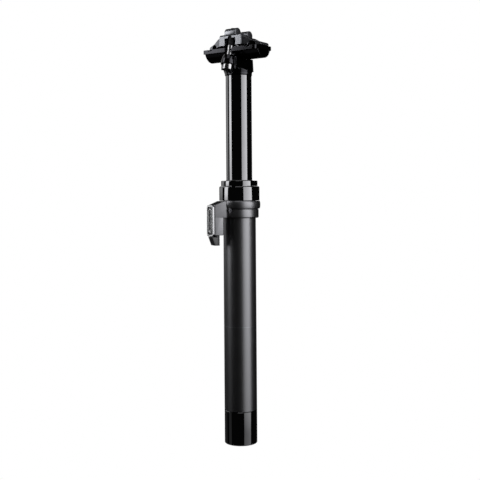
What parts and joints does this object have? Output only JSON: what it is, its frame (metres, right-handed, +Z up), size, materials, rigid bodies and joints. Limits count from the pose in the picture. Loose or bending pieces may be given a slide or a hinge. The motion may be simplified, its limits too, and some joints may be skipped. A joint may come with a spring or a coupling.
{
  "type": "dropper seatpost",
  "caption": "Telescoping bicycle seatpost with a cable-worked valve housing at its collar and a two-bolt saddle clamp.",
  "frame": {"origin": "on the post's axis at the lower end face of the bottom cap", "axes": "+Z up along the post, -Y towards the saddle's nose, +X to the right as seen from the front"},
  "size_m": [0.062, 0.0519, 0.4005],
  "materials": {
    "matte_black": "bead-blasted black anodised aluminium",
    "gloss_black": "polished black anodised aluminium",
    "forged_black": "satin black anodised forging",
    "cast_silver": "tumbled bare cast aluminium",
    "bolt_steel": "zinc-plated bright steel",
    "plain_steel": "ground steel",
    "plain_aluminium": "machined aluminium",
    "brass": "machined brass",
    "black_plastic": "moulded black plastic",
    "black_rubber": "moulded seal rubber",
    "bushing": "filled bearing plastic"
  },
  "bodies": {
    "lower_post": {"outer_tube": "matte_black", "bottom_cap": "gloss_black", "shaft_mount": "plain_aluminium", "cartridge_shaft": "plain_steel", "shaft_nut": "plain_steel", "shaft_piston": "plain_aluminium", "piston_ring": "black_rubber", "upper_bushing": "bushing", "actuator_housing": "matte_black", "cover_plate": "forged_black", "cable_ferrule": "black_plastic", "inlet_guard": "black_plastic", "lever_pin": "bolt_steel", "lever_spring": "plain_steel", "rocker_pin": "plain_steel", "seal_collar": "gloss_black", "roller_clutch": "plain_steel", "collar_cap": "gloss_black", "wiper_seal": "black_rubber"},
    "sliding_post": {"sliding_tube": "gloss_black", "head_block": "forged_black", "lower_bushing": "bushing", "guide_key_1": "brass", "guide_key_2": "brass", "guide_key_3": "brass", "cartridge_tube": "plain_aluminium", "cartridge_seal_head": "plain_aluminium", "top_out_bumper": "black_rubber", "cartridge_plug": "plain_aluminium", "air_valve": "brass", "air_valve_cap": "black_plastic"},
    "floating_piston": {"floating_piston": "plain_aluminium", "floating_piston_ring": "black_rubber"},
    "saddle_clamp": {"lower_cradle": "forged_black", "upper_clamp": "cast_silver"},
    "front_nut": {"front_barrel_nut": "cast_silver"},
    "rear_nut": {"rear_barrel_nut": "cast_silver"},
    "front_bolt": {"front_bolt": "bolt_steel", "front_washer": "bolt_steel"},
    "rear_bolt": {"rear_bolt": "bolt_steel", "rear_washer": "bolt_steel"},
    "cable_lever": {"cable_lever": "plain_steel", "cable_anchor": "brass"},
    "pull_strip": {"pull_strip": "plain_steel"},
    "valve_rocker": {"valve_rocker": "plain_steel"},
    "valve_pin": {"valve_pin": "plain_steel"}
  },
  "joints": [
    {"name": "post_slide", "type": "slide", "parent": "lower_post", "child": "sliding_post", "axis": [0, 0, -1], "range_m": [0, 0.1], "stiffness_N_per_m": 300, "springref_m": -0.3},
    {"name": "floating_piston_slide", "type": "slide", "parent": "sliding_post", "child": "floating_piston", "axis": [0, 0, 1], "range_m": [0, 0.02616]},
    {"name": "saddle_tilt", "type": "hinge", "parent": "sliding_post", "child": "saddle_clamp", "pos_m": [0, -0.0022, 0.381], "axis": [1, 0, 0], "range_deg": [-8, 8]},
    {"name": "front_bolt_rock", "type": "hinge", "parent": "sliding_post", "child": "front_bolt", "pos_m": [0, -0.01735, 0.3649], "axis": [1, 0, 0], "range_deg": [-3.2, 3.2]},
    {"name": "rear_bolt_rock", "type": "hinge", "parent": "sliding_post", "child": "rear_bolt", "pos_m": [0, 0.01413, 0.36498], "axis": [1, 0, 0], "range_deg": [-3.4, 3.4]},
    {"name": "front_nut_turn", "type": "hinge", "parent": "saddle_clamp", "child": "front_nut", "pos_m": [0, -0.0095, 0.3954], "axis": [1, 0, 0], "range_deg": [-5.1, 5.1]},
    {"name": "rear_nut_turn", "type": "hinge", "parent": "saddle_clamp", "child": "rear_nut", "pos_m": [0, 0.0104, 0.395], "axis": [1, 0, 0], "range_deg": [-5.1, 5.1]},
    {"name": "lever_pull", "type": "hinge", "parent": "lower_post", "child": "cable_lever", "pos_m": [-0.00736, -0.01443, 0.2251], "axis": [0.891, -0.454, 0], "range_deg": [0, 24], "stiffness_Nm_per_rad": 0.03, "springref_deg": -28.65},
    {"name": "strip_lift", "type": "slide", "parent": "lower_post", "child": "pull_strip", "axis": [0, 0, 1], "range_m": [0, 0.00125], "stiffness_N_per_m": 0.002, "springref_m": 22.92},
    {"name": "rocker_lift", "type": "hinge", "parent": "lower_post", "child": "valve_rocker", "pos_m": [0.00409, 0.00802, 0.011], "axis": [-0.891, 0.454, 0], "range_deg": [0, 3.4], "stiffness_Nm_per_rad": 0.00005, "springref_deg": 125.19},
    {"name": "valve_open", "type": "slide", "parent": "lower_post", "child": "valve_pin", "axis": [0, 0, 1], "range_m": [0, 0.00055], "stiffness_N_per_m": 0.002, "springref_m": 46.52}
  ],
  "couplings": [
    {"joint": "floating_piston_slide", "follows": "post_slide", "ratio": 0.26075},
    {"joint": "front_bolt_rock", "follows": "saddle_tilt", "ratio": 0.385},
    {"joint": "rear_bolt_rock", "follows": "saddle_tilt", "ratio": 0.4079},
    {"joint": "front_nut_turn", "follows": "saddle_tilt", "ratio": -0.615},
    {"joint": "rear_nut_turn", "follows": "saddle_tilt", "ratio": -0.5921},
    {"joint": "lever_pull", "follows": "strip_lift", "rad_per_m": 330.27},
    {"joint": "rocker_lift", "follows": "strip_lift", "rad_per_m": 45.004},
    {"joint": "valve_open", "follows": "strip_lift", "ratio": 0.40503}
  ]
}
